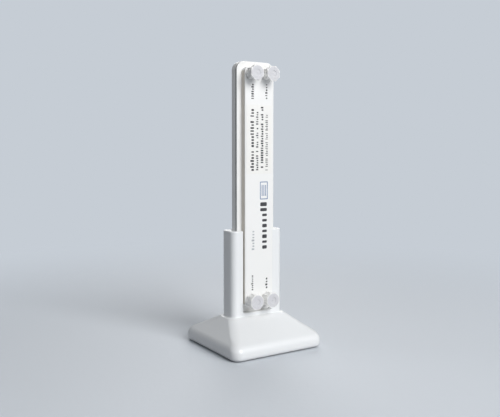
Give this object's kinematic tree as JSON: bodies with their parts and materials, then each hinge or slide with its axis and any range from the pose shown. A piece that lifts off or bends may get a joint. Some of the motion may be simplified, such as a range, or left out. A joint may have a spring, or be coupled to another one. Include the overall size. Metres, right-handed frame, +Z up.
{
  "type": "tangential flow filter cassette in its stand",
  "caption": "Slim crossflow filter cassette with capped Luer ports on its face, standing upright in the open-fronted channel of a hollow moulded stand.",
  "frame": {"origin": "on the table, under the middle of the stand's base", "axes": "+Z up along the cassette, -Y towards the side with the ports, +X to the right seen from the front"},
  "size_m": [0.082, 0.08, 0.2256],
  "materials": {
    "stand_plastic": "glossy white moulding",
    "cover_plastic": "smooth white moulding",
    "cap_plastic": "translucent natural plastic",
    "label_film": "satin printed film",
    "seal_resin": "cast resin",
    "screen_plastic": "woven mesh",
    "membrane_film": "matte film",
    "foot_rubber": "matte rubber"
  },
  "bodies": {
    "stand": {"stand": "stand_plastic", "foot_front_left": "foot_rubber", "foot_front_right": "foot_rubber", "foot_rear_left": "foot_rubber", "foot_rear_right": "foot_rubber"},
    "cassette": {"front_cover": "cover_plastic", "rear_cover": "cover_plastic", "edge_seal": "seal_resin", "permeate_screen_rear": "screen_plastic", "membrane_rear": "membrane_film", "feed_screen": "screen_plastic", "membrane_front": "membrane_film", "permeate_screen_front": "screen_plastic", "feed_seal": "seal_resin", "retentate_seal": "seal_resin", "permeate_seal_low": "seal_resin", "permeate_seal_high": "seal_resin", "label": "label_film"},
    "feed_cap": {"feed_cap": "cap_plastic"},
    "retentate_cap": {"retentate_cap": "cap_plastic"},
    "permeate_cap_low": {"permeate_cap_low": "cap_plastic"},
    "permeate_cap_high": {"permeate_cap_high": "cap_plastic"}
  },
  "joints": [
    {"name": "cassette_lift", "type": "slide", "parent": "stand", "child": "cassette", "axis": [0, 0, 1], "range_m": [0, 0.075]},
    {"name": "feed_cap_pull", "type": "slide", "parent": "cassette", "child": "feed_cap", "axis": [0, -1, 0], "range_m": [0, 0.015]},
    {"name": "retentate_cap_pull", "type": "slide", "parent": "cassette", "child": "retentate_cap", "axis": [0, -1, 0], "range_m": [0, 0.015]},
    {"name": "permeate_cap_low_pull", "type": "slide", "parent": "cassette", "child": "permeate_cap_low", "axis": [0, -1, 0], "range_m": [0, 0.015]},
    {"name": "permeate_cap_high_pull", "type": "slide", "parent": "cassette", "child": "permeate_cap_high", "axis": [0, -1, 0], "range_m": [0, 0.015]}
  ]
}
